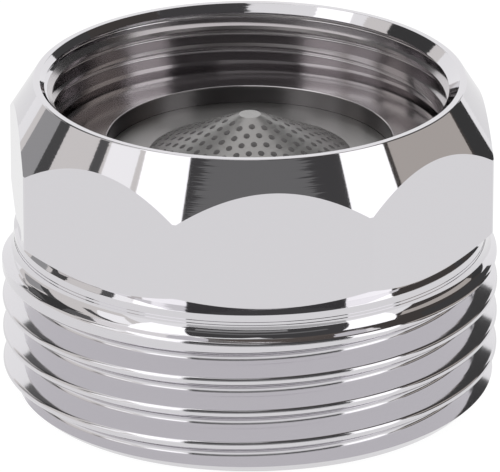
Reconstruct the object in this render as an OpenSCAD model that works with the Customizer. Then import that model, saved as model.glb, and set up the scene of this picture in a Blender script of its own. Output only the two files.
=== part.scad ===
// Thread adapter for a tap spout: an eight-sided turned body with an inner thread
// at the top, an outer pipe thread below, and a small conical strainer inside.
// It stands on its lower sealing face, with its axis along Z. Millimetres.

/* [Overall] */
// Height from the lower sealing face to the rim
total_h = 17.25; // [16.8:0.05:19]

/* [Octagon] */
// Distance across two opposite flats
across_flats = 24.8; // [24.6:0.1:26.5]
// Diameter that the corners are just turned down to
corner_d = 26.76; // [26.7:0.02:28]
// Height of the flats' lower edge
flats_base_z = 9.28; // [9.2:0.02:9.6]
// Outer diameter of the rim
rim_d = 22.9; // [22.6:0.1:24]
// Angle of the long upper chamfer, from the axis
rim_chamfer_deg = 32; // [26:1:36]
// Angle of the short lower chamfer, from the horizontal
base_chamfer_deg = 37; // [20:1:45]

/* [Outer thread] */
// Crest diameter of the 3/4 inch pipe thread
outer_d = 26.441; // [26.2:0.001:26.7]
// Pitch: fourteen turns to the inch
outer_pitch = 1.814; // [1.7:0.001:1.9]
// Depth of the thread, on the radius
outer_depth = 1.162; // [1:0.001:1.2]
// Height of the upper edge of the topmost crest
outer_top_z = 7.44; // [7.3:0.02:7.6]
// Diameter of the lower end, where the end chamfer starts
outer_end_d = 24.54; // [24:0.02:25.6]
// Half of the angle between two flanks
outer_flank_deg = 27.5; // [25:0.5:30]

/* [Neck] */
// Diameter of the plain neck between octagon and thread
neck_d = 25.14; // [24.8:0.02:25.3]
// Height where the neck starts to narrow towards the octagon
neck_top_z = 8.99; // [8.8:0.02:9.1]
// How much smaller the neck's radius is right under the octagon
neck_cone = 0.22; // [0.1:0.01:0.3]
// Height of the edge where the thread's hollow shoulder starts
shoulder_edge_z = 7.6; // [7.5:0.02:7.7]
// Radius of the hollow that leads from that shoulder up to the neck
hollow_r = 1; // [0.6:0.05:1]
// Angle through which the hollow turns
hollow_deg = 50; // [40:1:60]
// Heights of the two fine tool lines on the neck
line_low_z = 8.41; // [8.3:0.01:8.5]
line_high_z = 8.58; // [8.54:0.01:8.8]

/* [Inner thread] */
// Diameter at the groove bottoms, the nominal size
inner_d = 22; // [21.8:0.05:22.2]
// Pitch
inner_pitch = 1; // [0.9:0.05:1.1]
// Depth of the thread, on the radius
inner_depth = 0.541; // [0.45:0.001:0.6]
// Half of the angle between two flanks
inner_flank_deg = 30; // [27:0.5:32]
// Height of the flat ledge that ends the thread and carries a sealing washer
ledge_z = 13.8; // [13.7:0.05:14]
// Diameter of the lead-in chamfer at the rim
lead_in_d = 22.24; // [22.1:0.02:22.5]

/* [Waterway] */
// Diameter of the well that the strainer drops into
well_d = 15.2; // [14.8:0.1:16]
// Height of the shoulder that the strainer lies on
shoulder_z = 12.5; // [12.3:0.05:12.7]
// Diameter of the throat under the shoulder
throat_d = 14; // [13:0.1:14.2]
// Diameter of the outlet, drilled from below
outlet_d = 18; // [16:0.2:19]
// Height at which the outlet starts to narrow to the throat
outlet_h = 8; // [6:0.2:9]
// Width of the countersink at the outlet's mouth
outlet_break = 0.4; // [0.2:0.1:0.8]

/* [Strainer] */
// Thickness of the stainless sheet
sheet = 0.35; // [0.25:0.05:0.5]
// Gap between the strainer's edge and its well, on the radius
strainer_gap = 0.02; // [0.01:0.01:0.1]
// Diameter of the cone's foot
cone_d = 10.9; // [10:0.1:11.4]
// Height of the cone above its flange
cone_h = 2.35; // [1.8:0.05:2.8]
// Diameter of the flat disc left unpierced at the top of the cone
apex_d = 1.16; // [0.9:0.02:1.6]
// Diameter of one hole
hole_d = 0.34; // [0.24:0.02:0.42]
// Distance between neighbouring holes
hole_pitch = 0.66; // [0.6:0.01:0.9]

/* [Hidden] */
$fn = 128;
chrome = [0.80, 0.81, 0.83];
stainless = [0.62, 0.62, 0.62];
// Length by which a cutting shape runs past the surface that it opens
past = 1;
sides = 8;

corner_r = across_flats / 2 / cos(180 / sides);
rim_r = rim_d / 2;
outer_r = outer_d / 2;
outer_core_r = outer_r - outer_depth;
outer_end_r = outer_end_d / 2;
neck_r = neck_d / 2;
inner_r = inner_d / 2;
inner_crest_r = inner_r - inner_depth;
lead_in_r = lead_in_d / 2;
outer_turns = 5;
inner_turns = 3;
// Heights, below the rim, of the middle of the first inner groove
inner_first = 0.65;
// Height of the relief groove that ends the inner thread at the ledge
relief_h = 0.25;
// Height and depth of a fine tool line round the neck
line_h = 0.05;
line_depth = 0.04;

// Height of the octagon's two turned chamfers at a given radius
function rim_chamfer_z(r) = total_h - (r - rim_r) / tan(rim_chamfer_deg);
function base_chamfer_z(r) = flats_base_z + (r - across_flats / 2) * tan(base_chamfer_deg);

// Width that is left flat on a crest, and in a groove, when flanks of this angle
// and depth take their share of one pitch
function flat_w(pitch, depth, flank) = (pitch - 2 * depth * tan(flank)) / 2;

outer_flat = flat_w(outer_pitch, outer_depth, outer_flank_deg);
outer_flank_h = outer_depth * tan(outer_flank_deg);
inner_flat = flat_w(inner_pitch, inner_depth, inner_flank_deg);

// One crest of the outer thread in section: its upper edge is at z
module outer_crest(z) {
    polygon([
        [outer_core_r - past, z + outer_flank_h + past * tan(outer_flank_deg)],
        [outer_r, z],
        [outer_r, z - outer_flat],
        [outer_core_r - past, z - outer_flat - outer_flank_h - past * tan(outer_flank_deg)]
    ]);
}

// The neck in section, from the thread's topmost crest up into the octagon
module neck_section() {
    top_r = neck_r - neck_cone;
    hollow_end_r = neck_r + hollow_r * (1 - cos(hollow_deg));
    hollow_end_z = shoulder_edge_z + (outer_r - hollow_end_r) * tan(outer_flank_deg);
    hollow_top_z = hollow_end_z + hollow_r * sin(hollow_deg);
    difference() {
        polygon([
            [0, outer_top_z - outer_flat],
            [outer_r, outer_top_z - outer_flat],
            [outer_r, shoulder_edge_z],
            for (turned = [hollow_deg : -hollow_deg / 8 : 0])
                [neck_r + hollow_r * (1 - cos(turned)), hollow_top_z - hollow_r * sin(turned)],
            [neck_r, neck_top_z],
            [top_r, flats_base_z],
            [top_r, flats_base_z + past],
            [0, flats_base_z + past]
        ]);
        for (z = [line_low_z, line_high_z])
            translate([neck_r - line_depth, z]) square([past, line_h]);
    }
}

// Section of the lower half, from the axis out: core, crests and neck
module lower_section() {
    intersection() {
        union() {
            square([outer_core_r, flats_base_z]);
            for (turn = [0 : outer_turns - 1])
                outer_crest(outer_top_z - turn * outer_pitch);
            neck_section();
        }
        // The end chamfer at 45 degrees, and nothing below the sealing face
        polygon([
            [0, 0],
            [outer_end_r, 0],
            [outer_r, outer_r - outer_end_r],
            [outer_r, total_h],
            [0, total_h]
        ]);
    }
}

// The eight-sided bar, turned to a long chamfer above and a short one below
module octagon() {
    turned_r = corner_d / 2;
    inner_edge_r = neck_r - neck_cone;
    intersection() {
        translate([0, 0, flats_base_z - past])
            rotate([0, 0, 180 / sides])
                cylinder(r = corner_r, h = total_h - flats_base_z + 2 * past, $fn = sides);
        rotate_extrude() polygon([
            [0, base_chamfer_z(inner_edge_r)],
            [inner_edge_r, base_chamfer_z(inner_edge_r)],
            [turned_r, base_chamfer_z(turned_r)],
            [turned_r, rim_chamfer_z(turned_r)],
            [rim_r, total_h],
            [0, total_h]
        ]);
    }
}

// One groove of the inner thread in section: its middle is at z
module inner_groove(z) {
    bottom = inner_flat / 2;
    mouth = bottom + (inner_depth + past) * tan(inner_flank_deg);
    polygon([
        [inner_crest_r - past, z - mouth],
        [inner_r, z - bottom],
        [inner_r, z + bottom],
        [inner_crest_r - past, z + mouth]
    ]);
}

// Section of everything that is bored out, from the outlet up to the rim
module bore_section() {
    throat_r = throat_d / 2;
    outlet_r = outlet_d / 2;
    throat_z = outlet_h + outlet_r - throat_r;
    lead_in_z = total_h - (lead_in_r - inner_crest_r);
    // The outlet with its countersink, and the 45 degree cone up to the throat
    polygon([
        [0, -past],
        [outlet_r + outlet_break + past, -past],
        [outlet_r, outlet_break],
        [outlet_r, outlet_h],
        [throat_r, throat_z],
        [throat_r, total_h],
        [0, total_h]
    ]);
    // The strainer's well, then the threaded socket and its lead-in
    translate([0, shoulder_z]) square([well_d / 2, total_h - shoulder_z]);
    polygon([
        [0, ledge_z],
        [inner_crest_r, ledge_z],
        [inner_crest_r, lead_in_z],
        [lead_in_r + past, total_h + past],
        [0, total_h + past]
    ]);
    for (turn = [0 : inner_turns - 1])
        inner_groove(total_h - inner_first - turn * inner_pitch);
    translate([0, ledge_z]) square([inner_r, relief_h]);
}

// The one turned piece: octagon, neck and both threads, cut as rings in section
module adapter_body() {
    color(chrome) difference() {
        union() {
            octagon();
            rotate_extrude() lower_section();
        }
        rotate_extrude() bore_section();
    }
}

// The strainer's sheet in section: flat flange, cone and flat top
module sheet_section() {
    flange_r = well_d / 2 - strainer_gap;
    foot_r = cone_d / 2;
    apex_r = apex_d / 2;
    flange_z = shoulder_z + sheet;
    apex_z = flange_z + cone_h;
    // The underside lies one sheet below the cone, measured square to its slope
    slope = atan(cone_h / (foot_r - apex_r));
    shift = sheet * tan(slope / 2);
    polygon([
        [0, apex_z - sheet],
        [apex_r - shift, apex_z - sheet],
        [foot_r - shift, shoulder_z],
        [flange_r, shoulder_z],
        [flange_r, flange_z],
        [foot_r, flange_z],
        [apex_r, apex_z],
        [0, apex_z]
    ]);
}

// Places of the holes: a hexagonal grid between the top disc and the foot
function hole_places() =
    let (
        row_h = hole_pitch * sin(60),
        inner_limit = apex_d / 2 + hole_d / 2,
        outer_limit = cone_d / 2 - 0.6 * hole_d,
        rows = floor(outer_limit / row_h),
        columns = floor(outer_limit / hole_pitch)
    )
    [
        for (row = [-rows : rows], column = [-columns - 1 : columns])
            let (
                x = (column + (row % 2 == 0 ? 0 : 0.5)) * hole_pitch,
                y = row * row_h,
                r = norm([x, y])
            )
            if (r > inner_limit && r < outer_limit) [x, y]
    ];

// The strainer: one stamped sheet with its cone pierced all over
module strainer() {
    color(stainless) difference() {
        rotate_extrude() sheet_section();
        for (place = hole_places())
            translate([place[0], place[1], shoulder_z - past])
                cylinder(d = hole_d, h = cone_h + sheet + 2 * past, $fn = 16);
    }
}

adapter_body();
strainer();
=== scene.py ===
"""Thread adapter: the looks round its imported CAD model, laid out as an add-on."""

import math

import bmesh
import bpy
from bpy.props import FloatProperty, FloatVectorProperty, IntProperty, PointerProperty
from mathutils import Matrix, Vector


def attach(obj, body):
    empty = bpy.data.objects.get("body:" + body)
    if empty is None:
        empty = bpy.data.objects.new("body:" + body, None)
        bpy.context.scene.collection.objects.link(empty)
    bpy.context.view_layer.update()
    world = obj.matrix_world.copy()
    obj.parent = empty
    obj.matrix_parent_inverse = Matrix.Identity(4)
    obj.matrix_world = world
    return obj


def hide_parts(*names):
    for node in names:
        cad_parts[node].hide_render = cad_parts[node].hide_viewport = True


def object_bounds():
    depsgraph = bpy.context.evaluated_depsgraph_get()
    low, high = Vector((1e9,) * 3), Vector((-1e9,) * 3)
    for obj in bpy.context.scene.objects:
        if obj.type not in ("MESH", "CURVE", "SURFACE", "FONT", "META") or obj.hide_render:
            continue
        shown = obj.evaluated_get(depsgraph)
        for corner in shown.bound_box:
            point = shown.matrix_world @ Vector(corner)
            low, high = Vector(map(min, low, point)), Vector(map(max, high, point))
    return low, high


bl_info = {
    "name": "Thread adapter",
    "version": (1, 0, 0),
    "blender": (4, 5, 0),
    "location": "View3D > Sidebar > Adapter",
    "description": "Builds a chrome thread adapter with its strainer and a small studio",
    "category": "Object",
}

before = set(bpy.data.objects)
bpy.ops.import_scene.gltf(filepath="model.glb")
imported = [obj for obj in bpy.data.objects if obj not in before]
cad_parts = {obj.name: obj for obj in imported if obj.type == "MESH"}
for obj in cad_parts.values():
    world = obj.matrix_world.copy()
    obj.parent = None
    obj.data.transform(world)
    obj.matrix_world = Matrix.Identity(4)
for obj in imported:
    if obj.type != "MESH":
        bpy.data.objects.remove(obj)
CAD_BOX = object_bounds()
MM = 0.001
RIM_Z = CAD_BOX[1].z
OCTAGON_SIDES = 8

# Doubles are merged, and cuts overshoot what they open, by these lengths
MERGE = 1e-7
OVERSHOOT = 1.0 * MM
# Facets of a polished edge, an outer crest or root, an inner groove's corner and the hollow
EDGE_SEGMENTS = 3
OUTER_SEGMENTS = 5
INNER_SEGMENTS = 2
HOLLOW_STEPS = 8
# Shares of a flat that are rounded away: on the outer thread, and in an inner groove
OUTER_ROUNDED = 0.97
INNER_ROUNDED = 0.8
# Share of half a crest's width by which the outer thread's tool reaches over it
LIP_SHARE = 0.99
# How far the inner thread's tool reaches past the crests; a longer one would cut into the ledge
INNER_REACH = 0.05 * MM
# Shares of a thread's depth by which its tool is drawn out where the thread runs out
OUTER_LIFT = 1.1
INNER_LIFT = 1.2
# How far below the flats their tool starts, just above where the neck's cone is as narrow
FLATS_REACH = 0.03 * MM
# A face is upright, level or on a flat within these limits, and edges over the angle stay sharp
UPRIGHT = 0.001
LEVEL = 0.9999
FLAT_TOLERANCE = 0.002 * MM
SHARP_ANGLE = math.radians(31)

# The bore's painted shade and its rougher plating start within this radius and this far below the
# rim
BORE_MASK_RADIUS = 11.15 * MM
BORE_MASK_DEPTH = 0.66 * MM
# The well's painted shade starts this far below the ledge
WELL_SHADE_DEPTH = 0.05 * MM
# Tool marks of the body and the sheet: changes per metre across them, per turn along them, detail
BODY_MARKS = (7000, 2.5, 1)
SHEET_MARKS = (5000, 3, 2)
# The sheet's marks are this many times as deep as the body's
SHEET_MARK_RATIO = 6
# Faces of the sheet whose normal points up or down by less than this are walls of holes
HOLE_WALL_LIMIT = 0.5


def length(name, description, millimetres):
    """A length property whose default is given in millimetres."""
    return FloatProperty(name=name, description=description, default=millimetres * MM,
                         unit="LENGTH", precision=5)


def angle(name, description, degrees):
    """An angle property whose default is given in degrees."""
    return FloatProperty(name=name, description=description, default=math.radians(degrees),
                         subtype="ANGLE")


def colour(name, description, value):
    """A linear colour property."""
    return FloatVectorProperty(name=name, description=description, default=value,
                               subtype="COLOR", min=0, max=1)


def roughness(name, description, value):
    """A roughness property."""
    return FloatProperty(name=name, description=description, default=value, min=0, max=1)


class AdapterSizes(bpy.types.PropertyGroup):
    """Sizes of the turned body, as in the CAD source, with the rounding of its edges."""

    across_flats: length("Across flats", "Distance across two opposite flats", 24.8)
    corner_radius: length("Corner radius", "Radius that the corners are turned down to", 13.38)
    flats_base: length("Flats base", "Height of the flats' lower edge", 9.28)
    rim_radius: length("Rim radius", "Outer radius of the rim", 11.45)
    rim_chamfer: angle("Rim chamfer", "Angle of the long upper chamfer, from the axis", 32)
    base_chamfer: angle("Base chamfer", "Angle of the short lower chamfer, from the level", 37)
    neck_radius: length("Neck radius", "Radius of the neck between thread and octagon", 12.57)
    neck_top: length("Neck top", "Height where the neck narrows towards the octagon", 8.99)
    neck_cone: length("Neck cone", "How much the neck's radius narrows there", 0.22)
    line_low: length("Lower tool line", "Height of the lower fine line on the neck", 8.41)
    line_high: length("Upper tool line", "Height of the upper fine line on the neck", 8.58)
    line_width: length("Tool line width", "Height of one fine line", 0.05)
    line_depth: length("Tool line depth", "Depth of one fine line", 0.04)
    shoulder_edge: length("Shoulder edge", "Height where the hollow shoulder starts", 7.6)
    hollow_radius: length("Hollow radius", "Radius of the hollow below the neck", 1.0)
    hollow_turn: angle("Hollow turn", "Angle through which the hollow turns", 50)
    outer_radius: length("Outer thread radius", "Crest radius of the outer thread", 13.2205)
    outer_depth: length("Outer thread depth", "Depth of the outer thread", 1.162)
    outer_pitch: length("Outer pitch", "Rise of the outer thread in one turn", 1.814)
    outer_flank: angle("Outer flank", "Half of the angle between two outer flanks", 27.5)
    outer_top: length("Topmost crest", "Height of its upper edge, facing the camera", 7.44)
    end_radius: length("End radius", "Radius of the lower face inside its chamfer", 12.27)
    inner_radius: length("Inner thread radius", "Radius at the inner groove's bottom", 11.0)
    inner_depth: length("Inner thread depth", "Depth of the inner thread", 0.541)
    inner_pitch: length("Inner pitch", "Rise of the inner thread in one turn", 1.0)
    inner_flank: angle("Inner flank", "Half of the angle between two inner flanks", 30)
    inner_first: length("First inner groove", "Height of its middle, at the back", 16.6)
    lead_in_radius: length("Lead-in radius", "Radius of the lead-in chamfer at the rim", 11.12)
    ledge: length("Ledge", "Height of the washer ledge", 13.8)
    relief: length("Relief", "Height of the relief groove above the ledge", 0.25)
    well_radius: length("Well radius", "Radius of the well that holds the strainer", 7.6)
    shoulder: length("Shoulder", "Height of the shoulder that the strainer lies on", 12.5)
    throat_radius: length("Throat radius", "Radius of the throat under the strainer", 7.0)
    outlet_radius: length("Outlet radius", "Radius of the outlet", 9.0)
    outlet_top: length("Outlet top", "Height where the outlet starts to narrow", 8.0)
    outlet_break: length("Outlet break", "Width of the countersink at the outlet's mouth", 0.4)
    edge_round: length("Edge round", "Radius of the polished edges", 0.05)
    turning_steps: IntProperty(name="Turning steps", description="Facets round the turned body",
                               default=288, min=96, max=480)


class AdapterFinish(bpy.types.PropertyGroup):
    """Colours and polish of the adapter's surfaces; the bore and well colours are painted shade."""

    chrome: colour("Chrome", "Colour of the chrome plating", (0.715, 0.702, 0.728))
    # Painted shade: the bore colour darkens the chrome's reflections everywhere inside the bore
    bore: colour("Bore", "Colour of the thin plating inside the bore", (0.55, 0.527, 0.538))
    # Painted shade: the well colour darkens the bore further below the ledge, round the strainer
    # and down to the outlet
    well: colour("Well", "Colour of the dull well round the strainer", (0.22, 0.21, 0.215))
    steel: colour("Stainless", "Colour of the strainer's sheet", (0.42, 0.415, 0.41))
    torn: colour("Torn edges", "Colour of the walls of the punched holes", (0.3, 0.29, 0.29))
    chrome_roughness: roughness("Chrome roughness", "Roughness of the plating", 0.045)
    thread_roughness: roughness("Thread roughness", "Roughness of the outer thread", 0.09)
    bore_roughness: roughness("Bore roughness", "Roughness inside the bore", 0.145)
    steel_roughness: roughness("Stainless roughness", "Roughness of the brushed sheet", 0.38)
    mark_depth: FloatProperty(name="Tool marks", description="Depth of the marks, in metres",
                              default=1.6e-6, min=0, precision=8)


class AdapterStage(bpy.types.PropertyGroup):
    """Camera and studio."""

    camera_azimuth: angle("Camera azimuth", "Turn round the adapter; 0 looks along +Y", -5.53)
    camera_elevation: angle("Camera elevation", "Camera's height above the horizon", 22.76)
    camera_distance: length("Camera distance", "Distance from the point looked at", 400)
    look_height: length("Look height", "Height of the point looked at, on the axis", 8.0)
    focal_px: FloatProperty(name="Focal length", default=7498.6,
                            description="In pixels of the 500 pixel wide photograph")
    centre_x: FloatProperty(name="Centre x", default=249.8,
                            description="Pixel column of the point looked at")
    centre_y: FloatProperty(name="Centre y", default=239.3,
                            description="Pixel row of the point looked at")
    floor_colour: colour("Floor", "Colour of the floor", (0.9, 0.9, 0.9))
    studio_level: FloatProperty(name="Studio level", default=1.0,
                                description="Brightness of the white studio")


def add_piece(add, name, **sizes):
    """Runs one of bpy.ops' add operators with nothing else selected, and names what it made."""
    bpy.ops.object.select_all(action="DESELECT")
    add(**sizes)
    piece = bpy.context.object
    piece.name = name
    piece.data.name = name
    return piece


def select_only(piece):
    """Makes a piece the active and the only selected one."""
    bpy.ops.object.select_all(action="DESELECT")
    piece.select_set(True)
    bpy.context.view_layer.objects.active = piece


def pick(piece, kind, wanted):
    """Selects, in edit mode, just the vertices or faces for which wanted is true."""
    bpy.ops.mesh.select_mode(type={"verts": "VERT", "faces": "FACE"}[kind])
    bpy.ops.mesh.select_all(action="DESELECT")
    shape = bmesh.from_edit_mesh(piece.data)
    for item in getattr(shape, kind):
        if wanted(item):
            item.select_set(True)
    shape.select_flush_mode()
    bmesh.update_edit_mesh(piece.data)


def face_outwards():
    """Turns all faces of the piece in edit mode outwards, and leaves edit mode."""
    bpy.ops.mesh.select_all(action="SELECT")
    bpy.ops.mesh.normals_make_consistent(inside=False)
    bpy.ops.object.mode_set(mode="OBJECT")


def rounded(corners, segments=EDGE_SEGMENTS):
    """A closed outline through (r, z, radius) corners, each rounded off with its own radius."""
    outline = []
    for index, (r, z, radius) in enumerate(corners):
        corner = Vector((r, z))
        if radius == 0:
            outline.append(corner)
            continue
        before = (Vector(corners[index - 1][:2]) - corner).normalized()
        after = (Vector(corners[(index + 1) % len(corners)][:2]) - corner).normalized()
        half = before.angle(after) / 2
        start = corner + before * (radius / math.tan(half))
        end = corner + after * (radius / math.tan(half))
        centre = corner + (before + after).normalized() * (radius / math.sin(half))
        for step in range(segments + 1):
            blend = start.lerp(end, step / segments) - centre
            outline.append(centre + blend.normalized() * radius)
    return outline


def draw_outline(name, outline):
    """Draws a closed outline in the XZ plane, extruding one vertex from point to point."""
    piece = add_piece(bpy.ops.mesh.primitive_plane_add, name, size=MM)
    bpy.ops.object.mode_set(mode="EDIT")
    bpy.ops.mesh.select_mode(type="VERT")
    bpy.ops.mesh.select_all(action="SELECT")
    bpy.ops.mesh.merge(type="CENTER")
    bpy.ops.transform.translate(value=(outline[0].x, 0, outline[0].y))
    for here, there in zip(outline, outline[1:]):
        step = (there.x - here.x, 0, there.y - here.y)
        bpy.ops.mesh.extrude_vertices_move(TRANSFORM_OT_translate={"value": step})
    pick(piece, "verts", lambda vertex: vertex.index in (0, len(outline) - 1))
    bpy.ops.mesh.edge_face_add()
    bpy.ops.object.mode_set(mode="OBJECT")
    return piece


def turn_section(name, outline, steps):
    """Turns a closed section once round the Z axis."""
    piece = draw_outline(name, outline)
    bpy.ops.object.mode_set(mode="EDIT")
    bpy.ops.mesh.select_all(action="SELECT")
    bpy.ops.mesh.spin(steps=steps, angle=2 * math.pi, center=(0, 0, 0), axis=(0, 0, 1))
    bpy.ops.mesh.select_all(action="SELECT")
    bpy.ops.mesh.remove_doubles(threshold=MERGE)
    face_outwards()
    return piece


def wind_section(name, outline, turns, pitch, steps):
    """Winds a closed section up a right-hand helix, and leaves both ends open."""
    piece = draw_outline(name, outline)
    screw = piece.modifiers.new("winding", "SCREW")
    screw.axis = "Z"
    screw.angle = turns * 2 * math.pi
    screw.screw_offset = turns * pitch
    screw.iterations = 1
    screw.steps = round(turns * steps)
    screw.render_steps = screw.steps
    screw.use_smooth_shade = False
    bpy.ops.object.modifier_apply(modifier=screw.name)
    return piece


def draw_back(piece, points, steps, shift):
    """Moves each ring of a wound section in or out by shift(turns wound so far)."""
    for vertex in piece.data.vertices:
        out = shift(vertex.index // points / steps)
        place = vertex.co
        flat = math.hypot(place.x, place.y)
        place.x *= (flat + out) / flat
        place.y *= (flat + out) / flat


def close_ends(piece):
    """Fills the open ends of a wound section and turns its faces outwards."""
    select_only(piece)
    bpy.ops.object.mode_set(mode="EDIT")
    bpy.ops.mesh.select_all(action="SELECT")
    bpy.ops.mesh.fill_holes(sides=0)
    face_outwards()


def cut(piece, tool):
    """Cuts a tool's shape out of a piece, and deletes the tool."""
    select_only(piece)
    boolean = piece.modifiers.new("cut", "BOOLEAN")
    boolean.operation = "DIFFERENCE"
    boolean.solver = "MANIFOLD"
    boolean.object = tool
    before = len(piece.data.polygons)
    bpy.ops.object.modifier_apply(modifier=boolean.name)
    if len(piece.data.polygons) in (0, before):
        raise RuntimeError(f"{tool.name} cut nothing out of {piece.name}")
    bpy.data.objects.remove(tool)


def camera_angle():
    """Direction from the axis to the camera, as an angle from +X."""
    return bpy.context.scene.adapter_stage.camera_azimuth - math.pi / 2


def flat_width(pitch, depth, flank):
    """Width that is left flat on each crest and in each groove of a thread."""
    return (pitch - 2 * depth * math.tan(flank)) / 2


def outer_flat(sizes):
    """Width of the outer thread's flats."""
    return flat_width(sizes.outer_pitch, sizes.outer_depth, sizes.outer_flank)


def crest_round(sizes):
    """Radius that rounds a crest or a root of the outer thread almost fully."""
    corner = (math.pi / 2 - sizes.outer_flank) / 2
    return OUTER_ROUNDED * outer_flat(sizes) / 2 / math.tan(corner)


def inner_crest(sizes):
    """Crest radius of the inner thread."""
    return sizes.inner_radius - sizes.inner_depth


def hollow(sizes):
    """Points of the hollow shoulder, up to the lower tool line on the neck."""
    reach = sizes.hollow_radius
    end_r = sizes.neck_radius + reach * (1 - math.cos(sizes.hollow_turn))
    end_z = sizes.shoulder_edge + (sizes.outer_radius - end_r) * math.tan(sizes.outer_flank)
    top_z = end_z + reach * math.sin(sizes.hollow_turn)
    points = []
    for step in range(HOLLOW_STEPS):
        turned = sizes.hollow_turn * (1 - step / HOLLOW_STEPS)
        z = top_z - reach * math.sin(turned)
        if z < sizes.line_low:
            points.append((sizes.neck_radius + reach * (1 - math.cos(turned)), z, 0))
    return points


def tool_line(sizes, z):
    """Points of one fine line on the neck, whose lower edge is at z."""
    line_r = sizes.neck_radius - sizes.line_depth
    return [(line_r, z, 0), (line_r, z + sizes.line_width, 0),
            (sizes.neck_radius, z + sizes.line_width, 0)]


def turned_outline(sizes):
    """Half section of the whole body as it leaves the lathe, before flats and threads are cut."""
    polish = sizes.edge_round
    rim_polish = 2 * polish
    end_chamfer_z = sizes.outer_radius - sizes.end_radius
    neck_end = sizes.neck_radius - sizes.neck_cone
    corner_in = sizes.corner_radius - sizes.rim_radius
    corner_top = RIM_Z - corner_in / math.tan(sizes.rim_chamfer)
    crest_r = inner_crest(sizes)
    lead_in_z = RIM_Z - (sizes.lead_in_radius - crest_r)
    relief_z = sizes.ledge + sizes.relief
    throat_z = sizes.outlet_top + sizes.outlet_radius - sizes.throat_radius

    def base_z(r):
        return sizes.flats_base + (r - sizes.across_flats / 2) * math.tan(sizes.base_chamfer)

    return rounded([
        (sizes.outlet_radius + sizes.outlet_break, 0, 0),
        (sizes.end_radius, 0, polish),
        (sizes.outer_radius, end_chamfer_z, polish),
        (sizes.outer_radius, sizes.shoulder_edge, crest_round(sizes)),
        *hollow(sizes),
        *tool_line(sizes, sizes.line_low),
        (sizes.neck_radius, sizes.line_high, 0),
        *tool_line(sizes, sizes.line_high),
        (sizes.neck_radius, sizes.neck_top, polish),
        (neck_end, base_z(neck_end), 0),
        (sizes.corner_radius, base_z(sizes.corner_radius), polish),
        (sizes.corner_radius, corner_top, 0),
        (sizes.rim_radius, RIM_Z, rim_polish),
        (sizes.lead_in_radius, RIM_Z, polish),
        (crest_r, lead_in_z, 0),
        (crest_r, relief_z, 0),
        (sizes.inner_radius, relief_z, 0),
        (sizes.inner_radius, sizes.ledge, 0),
        (sizes.well_radius, sizes.ledge, polish),
        (sizes.well_radius, sizes.shoulder, 0),
        (sizes.throat_radius, sizes.shoulder, 0),
        (sizes.throat_radius, throat_z, 0),
        (sizes.outlet_radius, sizes.outlet_top, 0),
        (sizes.outlet_radius, sizes.outlet_break, 0),
    ])


def outer_groove(sizes, z):
    """Section of the tool that cuts the outer thread; z is the upper edge of the crest below it."""
    flat = outer_flat(sizes)
    rise = sizes.outer_depth * math.tan(sizes.outer_flank)
    root_r = sizes.outer_radius - sizes.outer_depth
    skin = sizes.outer_radius + MERGE
    far = sizes.outer_radius + OVERSHOOT
    top = z + 2 * rise + flat
    lip = LIP_SHARE * flat / 2
    polish = crest_round(sizes)
    return rounded([
        (far, z - lip, 0),
        (skin, z - lip, 0),
        (skin, z, polish),
        (root_r, z + rise, polish),
        (root_r, z + rise + flat, polish),
        (skin, top, polish),
        (skin, top + lip, 0),
        (far, top + lip, 0),
    ], OUTER_SEGMENTS)


def inner_groove(sizes, z):
    """Section of the tool that cuts the inner thread; its middle is at z."""
    half = flat_width(sizes.inner_pitch, sizes.inner_depth, sizes.inner_flank) / 2
    polish = INNER_ROUNDED * half
    reach = sizes.inner_depth + INNER_REACH
    mouth = half + reach * math.tan(sizes.inner_flank)
    near = sizes.inner_radius - reach
    return rounded([
        (near, z - mouth, 0),
        (sizes.inner_radius, z - half, polish),
        (sizes.inner_radius, z + half, polish),
        (near, z + mouth, 0),
    ], INNER_SEGMENTS)


def outer_thread_tool(sizes):
    """The right-hand groove of the outer thread, drawn out where it ends at the shoulder."""
    # Whole turns between the start of the winding and the topmost groove
    started_below = 6
    # Turns before the tool would face the camera again at which it starts and ends to draw out
    fades_from = 0.31
    fades_to = 0.12
    # Angles are counted from +X, where the winding starts
    facing = camera_angle() / (2 * math.pi) + started_below
    turns = facing - fades_to
    outline = outer_groove(sizes, sizes.outer_top - facing * sizes.outer_pitch)
    tool = wind_section("outer_thread_tool", outline, turns, sizes.outer_pitch, sizes.turning_steps)
    lift = OUTER_LIFT * sizes.outer_depth

    def shift(turn):
        return lift * max((turn - facing + fades_from) / (fades_from - fades_to), 0)

    draw_back(tool, len(outline), sizes.turning_steps, shift)
    close_ends(tool)
    return tool


def inner_thread_tool(sizes):
    """The right-hand groove of the inner thread, which starts shallow above the ledge."""
    turns = 4.25
    fades_over = 0.2
    # Whole turns below the first groove, and turns from +X to the back
    started_below = 2
    to_back = 0.25
    start_z = sizes.inner_first - (to_back + started_below) * sizes.inner_pitch
    outline = inner_groove(sizes, start_z)
    tool = wind_section("inner_thread_tool", outline, turns, sizes.inner_pitch, sizes.turning_steps)
    lift = INNER_LIFT * sizes.inner_depth

    def shift(turn):
        return -lift * (1 - min(turn / fades_over, 1))

    draw_back(tool, len(outline), sizes.turning_steps, shift)
    close_ends(tool)
    return tool


def flats_tool(sizes):
    """An eight-sided ring whose inner faces cut the octagon's flats."""
    outer = sizes.across_flats
    top = RIM_Z + OVERSHOOT
    base = sizes.flats_base - FLATS_REACH
    half_side = math.pi / OCTAGON_SIDES
    tool = add_piece(
        bpy.ops.mesh.primitive_cylinder_add, "flats_tool", vertices=OCTAGON_SIDES,
        radius=outer / math.cos(half_side), depth=top - base,
        location=(0, 0, (top + base) / 2), rotation=(0, 0, half_side))
    bpy.ops.object.transform_apply(location=True, rotation=True, scale=True)
    bpy.ops.object.mode_set(mode="EDIT")
    pick(tool, "faces", lambda face: abs(face.normal.z) > LEVEL)
    bpy.ops.mesh.inset(thickness=outer - sizes.across_flats / 2)
    bpy.ops.mesh.bridge_edge_loops()
    face_outwards()
    return tool


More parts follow.
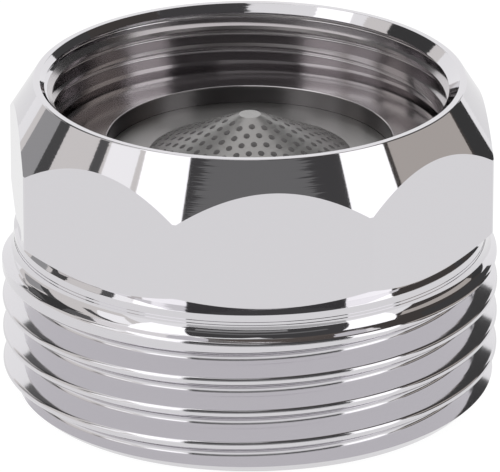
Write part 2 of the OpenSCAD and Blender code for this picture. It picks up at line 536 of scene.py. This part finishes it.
def on_flat(face, sizes):
    """True for a face that lies on one of the octagon's flats."""
    if abs(face.normal.z) > UPRIGHT:
        return False
    return abs(face.normal.dot(face.center) - sizes.across_flats / 2) < FLAT_TOLERANCE


def smooth_round_axis(piece, sizes, sharp):
    """Gives each corner the normal of the true turned surface, and keeps edges over sharp."""
    mesh = piece.data
    corner_faces = [[] for _ in mesh.vertices]
    keeps = []
    for face in mesh.polygons:
        keeps.append(on_flat(face, sizes) or abs(face.normal.z) > LEVEL)
        for vertex in face.vertices:
            corner_faces[vertex].append(face.index)

    def turned(face, place):
        """A face's normal, turned round the axis to the place's own direction."""
        normal = face.normal
        if keeps[face.index]:
            return normal.copy()
        flat = math.hypot(normal.x, normal.y)
        away = math.hypot(place.x, place.y)
        middle = face.center
        side = 1 if normal.x * middle.x + normal.y * middle.y > 0 else -1
        return Vector((place.x / away * flat * side, place.y / away * flat * side, normal.z))

    limit = math.cos(sharp)
    normals = [None] * len(mesh.loops)
    for face in mesh.polygons:
        for loop in face.loop_indices:
            vertex = mesh.loops[loop].vertex_index
            place = mesh.vertices[vertex].co
            own = turned(face, place)
            total = Vector((0, 0, 0))
            for other in corner_faces[vertex]:
                normal = turned(mesh.polygons[other], place)
                if keeps[other] == keeps[face.index] and normal.dot(own) > limit:
                    total += normal * mesh.polygons[other].area
            normals[loop] = total.normalized() if total.length > 0 else own
    mesh.polygons.foreach_set("use_smooth", [True] * len(mesh.polygons))
    mesh.normals_split_custom_set(normals)


def dress(piece, material):
    """Gives a piece one material."""
    piece.data.materials.clear()
    piece.data.materials.append(material)


def new_material(name):
    """A new material, with its nodes, its links and its Principled shader."""
    material = bpy.data.materials.new(name)
    material.use_nodes = True
    nodes = material.node_tree.nodes
    return material, nodes, material.node_tree.links, nodes["Principled BSDF"]


def math_node(nodes, links, operation, first, second=None):
    """A math node fed by sockets or numbers; returns its output."""
    node = nodes.new("ShaderNodeMath")
    node.operation = operation
    for socket, value in zip(node.inputs, (first, second)):
        if value is None:
            continue
        if isinstance(value, (int, float)):
            socket.default_value = value
        else:
            links.new(value, socket)
    return node.outputs[0]


def mix_colours(nodes, links, share, first, second):
    """A mix of two colours, of which each is a socket or a plain colour; returns its output."""
    mix = nodes.new("ShaderNodeMix")
    mix.data_type = "RGBA"
    links.new(share, mix.inputs["Factor"])
    for name, value in (("A", first), ("B", second)):
        if isinstance(value, bpy.types.NodeSocket):
            links.new(value, mix.inputs[name])
        else:
            mix.inputs[name].default_value = (*value, 1)
    return mix.outputs["Result"]


def turned_place(nodes, links):
    """Sockets for a point's distance from the axis and its x, y and z."""
    place = nodes.new("ShaderNodeTexCoord")
    parts = nodes.new("ShaderNodeSeparateXYZ")
    links.new(place.outputs["Object"], parts.inputs[0])
    x, y, z = parts.outputs
    squares = math_node(nodes, links, "ADD", math_node(nodes, links, "MULTIPLY", x, x),
                        math_node(nodes, links, "MULTIPLY", y, y))
    return math_node(nodes, links, "SQRT", squares), x, y, z


def ring_noise(nodes, links, place, across, around, detail):
    """Noise drawn out round the Z axis; across and around say how fast it changes."""
    away, x, y, z = place
    vector = nodes.new("ShaderNodeCombineXYZ")
    links.new(math_node(nodes, links, "MULTIPLY", away, across), vector.inputs[0])
    links.new(math_node(nodes, links, "MULTIPLY", z, across), vector.inputs[1])
    cosine = math_node(nodes, links, "DIVIDE", x, away)
    sine = math_node(nodes, links, "DIVIDE", y, away)
    links.new(math_node(nodes, links, "MULTIPLY", cosine, around), vector.inputs[2])
    noise = nodes.new("ShaderNodeTexNoise")
    noise.noise_dimensions = "4D"
    noise.inputs["Scale"].default_value = 1
    noise.inputs["Detail"].default_value = detail
    links.new(vector.outputs[0], noise.inputs["Vector"])
    links.new(math_node(nodes, links, "MULTIPLY", sine, around), noise.inputs["W"])
    return noise.outputs["Fac"]


def add_marks(nodes, links, shader, rings, depth):
    """Raises tool marks on a shader's surface."""
    marks = nodes.new("ShaderNodeBump")
    marks.inputs["Strength"].default_value = 1
    marks.inputs["Distance"].default_value = depth
    links.new(rings, marks.inputs["Height"])
    links.new(marks.outputs[0], shader.inputs["Normal"])


def chrome_plating(finish, sizes):
    """Bright chrome with fine rings from the tool, duller on the thread and in the bore, and with
    painted shade that darkens the bore and, more, everything below the ledge.
    """
    material, nodes, links, shader = new_material("chrome_plating")
    shader.inputs["Metallic"].default_value = 1
    place = turned_place(nodes, links)
    away, z = place[0], place[3]
    # Painted shade: darker colour inside the bore, and darker still below the ledge
    narrow = math_node(nodes, links, "LESS_THAN", away, BORE_MASK_RADIUS)
    low = math_node(nodes, links, "LESS_THAN", z, RIM_Z - BORE_MASK_DEPTH)
    inside = math_node(nodes, links, "MULTIPLY", narrow, low)
    deep = math_node(nodes, links, "LESS_THAN", z, sizes.ledge - WELL_SHADE_DEPTH)
    painted_bore_shade = mix_colours(nodes, links, deep, finish.bore, finish.well)
    tone = mix_colours(nodes, links, inside, finish.chrome, painted_bore_shade)
    links.new(tone, shader.inputs["Base Color"])
    threaded = math_node(nodes, links, "LESS_THAN", z, sizes.shoulder_edge)
    extra = finish.thread_roughness - finish.chrome_roughness
    duller = math_node(nodes, links, "MULTIPLY", threaded, extra)
    outside = math_node(nodes, links, "ADD", duller, finish.chrome_roughness)
    bore = math_node(nodes, links, "MULTIPLY", inside, finish.bore_roughness)
    links.new(math_node(nodes, links, "MAXIMUM", outside, bore), shader.inputs["Roughness"])
    rings = ring_noise(nodes, links, place, *BODY_MARKS)
    add_marks(nodes, links, shader, rings, finish.mark_depth)
    return material


def stainless_sheet(finish):
    """Brushed stainless sheet with rings of drawing marks, and dull walls in its holes."""
    material, nodes, links, shader = new_material("stainless_sheet")
    facing = nodes.new("ShaderNodeNewGeometry")
    parts = nodes.new("ShaderNodeSeparateXYZ")
    links.new(facing.outputs["True Normal"], parts.inputs[0])
    upright = math_node(nodes, links, "ABSOLUTE", parts.outputs[2])
    smooth = math_node(nodes, links, "GREATER_THAN", upright, HOLE_WALL_LIMIT)
    tone = mix_colours(nodes, links, smooth, finish.torn, finish.steel)
    links.new(tone, shader.inputs["Base Color"])
    links.new(smooth, shader.inputs["Metallic"])
    shader.inputs["Roughness"].default_value = finish.steel_roughness
    rings = ring_noise(nodes, links, turned_place(nodes, links), *SHEET_MARKS)
    add_marks(nodes, links, shader, rings, SHEET_MARK_RATIO * finish.mark_depth)
    return material


class ADAPTER_OT_body(bpy.types.Operator):
    """Turn the body, mill its eight flats and cut both of its threads"""

    bl_idname = "adapter.body"
    bl_label = "Turned body"

    def execute(self, context):
        sizes = context.scene.adapter_sizes
        body = turn_section("turned_body", turned_outline(sizes), sizes.turning_steps)
        cut(body, flats_tool(sizes))
        cut(body, outer_thread_tool(sizes))
        cut(body, inner_thread_tool(sizes))
        smooth_round_axis(body, sizes, SHARP_ANGLE)
        dress(body, chrome_plating(context.scene.adapter_finish, sizes))
        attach(body, "root")
        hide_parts("adapter_body")
        return {"FINISHED"}


class ADAPTER_OT_strainer(bpy.types.Operator):
    """Give the pierced strainer its brushed stainless finish"""

    bl_idname = "adapter.strainer"
    bl_label = "Strainer"

    def execute(self, context):
        sheet = stainless_sheet(context.scene.adapter_finish)
        dress(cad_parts["strainer"], sheet)
        return {"FINISHED"}


# Size of the photograph in pixels, and width of the camera's sensor in millimetres
PHOTO_WIDTH = 500
PHOTO_HEIGHT = 472
SENSOR_WIDTH = 36

# Each card has a name, a tint, a brightness, a distance in metres and, in degrees, its azimuth
# Azimuth counts to the right from the camera; elevation, width, height and roll come after it
CARDS = (
    ("softbox_left", (1, 1, 1), 1.5, 0.5, -55.6, 51.8, 21.1, 74.5, 27.5),
    ("softbox_right", (1, 1, 1), 1.5, 0.5, 61.8, 27.4, 22.2, 46.3, -17.6),
    ("softbox_edge", (1, 1, 1), 1.15, 0.6, -71, 30, 15, 34, 10),
    ("sky_strip", (1, 1, 1), 0.95, 0.5, -32, 69.5, 36, 9, 0),
    ("zenith_back", (1, 0.98, 0.98), 0.9, 0.5, -165, 75, 56, 26, 0),
    ("zenith_grey", (1, 0.97, 0.93), 0.22, 0.6, -10, 80, 26, 10, 0),
    ("front_shade", (1, 0.98, 1), 0.065, 0.7, 14, 45, 90, 60, 0),
    ("front_band", (1, 1, 1), 0.17, 0.6, 2, 41, 60, 7, 0),
    ("front_low", (1, 1, 1), 0.3, 0.6, -4, 25, 40, 9, 0),
    ("front_horizon", (1, 1, 1), 0.5, 0.6, 8, 6, 74, 15, 0),
    ("dark_right", (1, 0.9, 0.84), 0.065, 0.7, 108, 30, 60, 64, 0),
    ("taupe_right", (1, 0.93, 0.86), 0.5, 0.6, 102.5, 19.5, 46, 14, -24),
    ("shade_back_right", (1, 1, 1), 0.05, 0.6, 132, 6, 12, 18, 0),
    ("shade_above_right", (1, 1, 1), 0.06, 0.6, 137, 35, 32, 30, 0),
    ("grey_left", (1, 0.97, 0.94), 0.76, 0.7, -97, 25, 76, 54, 0),
    ("shade_left", (1, 1, 1), 0.1, 0.55, -84, 36, 5, 28, 0),
    ("shade_far_left", (1, 1, 1), 0.08, 0.6, -111, 20, 7, 22, 0),
    ("dim_far_left", (1, 1, 1), 0.36, 0.65, -121, 15, 16, 18, 0),
    ("patch_far_left", (1, 1, 1), 0.05, 0.6, -120, 37, 24, 18, 0),
    ("shade_back_left", (1, 1, 1), 0.12, 0.62, -141, 45, 34, 28, 0),
)
FLOOR_SIZE = 6.0
# Shares of the floor's own white in what is seen and mirrored; the rest carries the shadow
GLOW_SEEN = 0.85
GLOW_MIRRORED = 0.93
# Strengths of that white where it is seen and mirrored
FLOOR_WHITE = 1.08
FLOOR_MIRRORED = 0.9
# Height, size, colour and brightness of the dark ceiling
CEILING_HEIGHT = 0.9
CEILING_SIZE = 1.0
CEILING_TINT = (1, 0.86, 0.78)
CEILING_LEVEL = 0.11


def glow_material(name, tint, strength):
    """A material that only glows."""
    material, _, _, shader = new_material(name)
    shader.inputs["Base Color"].default_value = (0, 0, 0, 1)
    shader.inputs["Roughness"].default_value = 1
    shader.inputs["Specular IOR Level"].default_value = 0
    shader.inputs["Emission Color"].default_value = (*tint, 1)
    shader.inputs["Emission Strength"].default_value = strength
    return material


def only_mirrored(card, tint, strength):
    """Lets a card glow for mirrors only, unseen by the camera."""
    card.data.materials.append(glow_material(card.name, tint, strength))
    card.visible_camera = False
    card.visible_diffuse = False
    card.visible_shadow = False


def hang_card(name, tint, strength, distance, azimuth, elevation, width, height, roll):
    """Hangs one glowing or dark card that faces the adapter."""
    turn = camera_angle() + math.radians(azimuth)
    climb = math.radians(elevation)
    half_width = distance * math.tan(math.radians(width / 2))
    half_height = distance * math.tan(math.radians(height / 2))
    card = add_piece(bpy.ops.mesh.primitive_plane_add, name, size=2,
                     rotation=(0, 0, math.radians(roll)))
    card.scale = (half_width, half_height, 1)
    bpy.ops.object.transform_apply()
    card.rotation_euler = (math.pi / 2 - climb, 0, turn + math.pi / 2)
    out = distance * math.cos(climb)
    card.location = (out * math.cos(turn), out * math.sin(turn), distance * math.sin(climb))
    bpy.ops.object.transform_apply()
    only_mirrored(card, tint, strength)


def hang_ceiling():
    """Hangs the dark ceiling over the adapter."""
    ceiling = add_piece(bpy.ops.mesh.primitive_plane_add, "ceiling", size=CEILING_SIZE,
                        location=(0, 0, CEILING_HEIGHT))
    only_mirrored(ceiling, CEILING_TINT, CEILING_LEVEL)


def lay_floor(tint):
    """A floor that glows white, so that only a soft shadow is left on it."""
    floor = add_piece(bpy.ops.mesh.primitive_plane_add, "floor", size=FLOOR_SIZE)
    material, nodes, links, shader = new_material("floor")
    shader.inputs["Base Color"].default_value = (*tint, 1)
    shader.inputs["Roughness"].default_value = 1
    shader.inputs["Specular IOR Level"].default_value = 0
    path = nodes.new("ShaderNodeLightPath")
    camera_ray = path.outputs["Is Camera Ray"]
    seen = math_node(nodes, links, "MULTIPLY", camera_ray, GLOW_SEEN)
    mirrored = math_node(nodes, links, "MULTIPLY", path.outputs["Is Glossy Ray"], GLOW_MIRRORED)
    extra = math_node(nodes, links, "MULTIPLY", camera_ray, FLOOR_WHITE - FLOOR_MIRRORED)
    glow = nodes.new("ShaderNodeEmission")
    links.new(math_node(nodes, links, "ADD", extra, FLOOR_MIRRORED), glow.inputs["Strength"])
    mix = nodes.new("ShaderNodeMixShader")
    links.new(math_node(nodes, links, "MAXIMUM", seen, mirrored), mix.inputs["Fac"])
    links.new(shader.outputs[0], mix.inputs[1])
    links.new(glow.outputs[0], mix.inputs[2])
    links.new(mix.outputs[0], nodes["Material Output"].inputs["Surface"])
    floor.data.materials.append(material)


def place_camera(stage):
    """The camera that took the photograph."""
    azimuth = stage.camera_azimuth
    elevation = stage.camera_elevation
    back = stage.camera_distance * math.cos(elevation)
    height = stage.look_height + stage.camera_distance * math.sin(elevation)
    bpy.ops.object.camera_add(
        location=(back * math.sin(azimuth), -back * math.cos(azimuth), height),
        rotation=(math.pi / 2 - elevation, 0, azimuth))
    camera = bpy.context.object
    camera.data.sensor_width = SENSOR_WIDTH
    camera.data.lens = SENSOR_WIDTH * stage.focal_px / PHOTO_WIDTH
    camera.data.shift_x = (PHOTO_WIDTH / 2 - stage.centre_x) / PHOTO_WIDTH
    camera.data.shift_y = (stage.centre_y - PHOTO_HEIGHT / 2) / PHOTO_WIDTH
    bpy.context.scene.camera = camera


class ADAPTER_OT_studio(bpy.types.Operator):
    """Set up the camera, the white studio and the cards that the chrome reflects"""

    bl_idname = "adapter.studio"
    bl_label = "Studio"

    def execute(self, context):
        stage = context.scene.adapter_stage
        world = bpy.data.worlds.new("studio")
        world.use_nodes = True
        background = world.node_tree.nodes["Background"]
        background.inputs["Color"].default_value = (1, 1, 1, 1)
        background.inputs["Strength"].default_value = stage.studio_level
        context.scene.world = world
        context.scene.view_settings.view_transform = "Standard"
        lay_floor(stage.floor_colour)
        for card in CARDS:
            hang_card(*card)
        hang_ceiling()
        place_camera(stage)
        return {"FINISHED"}


class ADAPTER_PT_tools(bpy.types.Panel):
    """Lists the adapter's steps, sizes, finish and stage"""

    bl_label = "Thread adapter"
    bl_space_type = "VIEW_3D"
    bl_region_type = "UI"
    bl_category = "Adapter"

    def draw(self, context):
        for step in STEPS:
            self.layout.operator(step.bl_idname)
        for group in GROUPS:
            values = getattr(context.scene, group)
            column = self.layout.column(align=True)
            for name in values.__annotations__:
                column.prop(values, name)


STEPS = (ADAPTER_OT_body, ADAPTER_OT_strainer, ADAPTER_OT_studio)
GROUPS = {
    "adapter_sizes": AdapterSizes,
    "adapter_finish": AdapterFinish,
    "adapter_stage": AdapterStage,
}
CLASSES = (*GROUPS.values(), *STEPS, ADAPTER_PT_tools)


def register():
    """Registers the classes and hangs the settings on the scene."""
    for known in CLASSES:
        bpy.utils.register_class(known)
    for name, group in GROUPS.items():
        setattr(bpy.types.Scene, name, PointerProperty(type=group))


def unregister():
    """Takes the settings off the scene and unregisters the classes."""
    for name in GROUPS:
        delattr(bpy.types.Scene, name)
    for known in reversed(CLASSES):
        bpy.utils.unregister_class(known)


def main():
    """Builds everything in order."""
    register()
    bpy.ops.adapter.body()
    bpy.ops.adapter.strainer()
    bpy.ops.adapter.studio()


if __name__ == "__main__":
    main()
